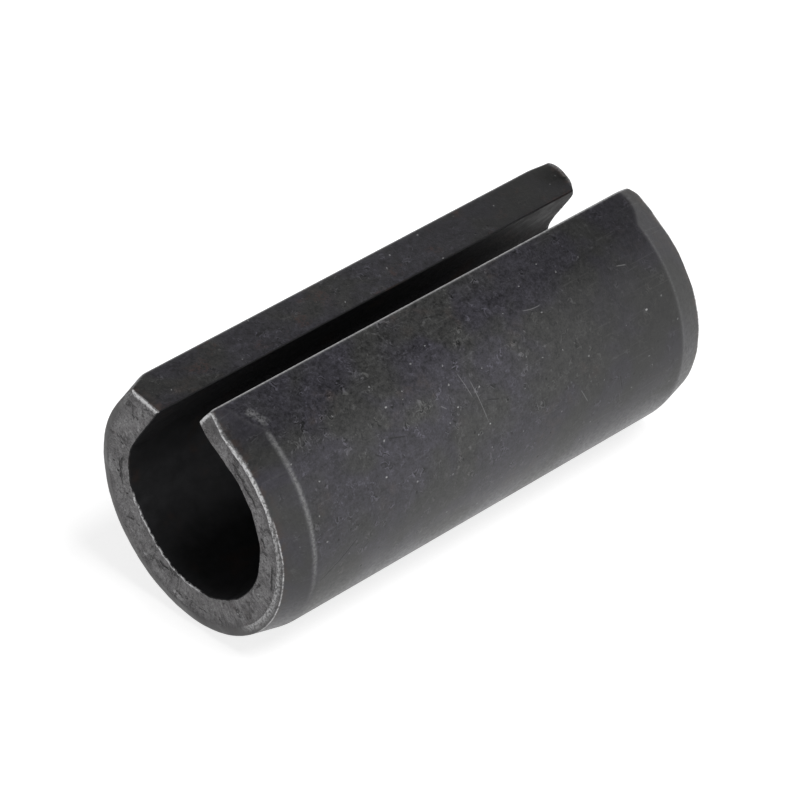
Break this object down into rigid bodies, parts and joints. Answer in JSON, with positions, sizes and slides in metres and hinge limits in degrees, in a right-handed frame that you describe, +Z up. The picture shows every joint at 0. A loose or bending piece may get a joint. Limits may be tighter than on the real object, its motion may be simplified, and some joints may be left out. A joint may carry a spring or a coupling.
{
  "type": "slotted spring pin",
  "caption": "Open-slotted tube of rolled spring steel with chamfered ends, squeezed into a drilled hole, where it springs out and grips the wall.",
  "frame": {"origin": "on the axis of the round shank, at mid-length", "axes": "+X along the pin, +Z up, with the pin lying in balance on its lowest line and its slot upwards; the front lip of the slot is at -Y"},
  "size_m": [0.018, 0.0088, 0.0086],
  "materials": {
    "spring_steel": "black phosphated, satin, worn bright on the edges"
  },
  "bodies": {
    "root": {"spring_pin": "spring_steel"}
  },
  "joints": []
}
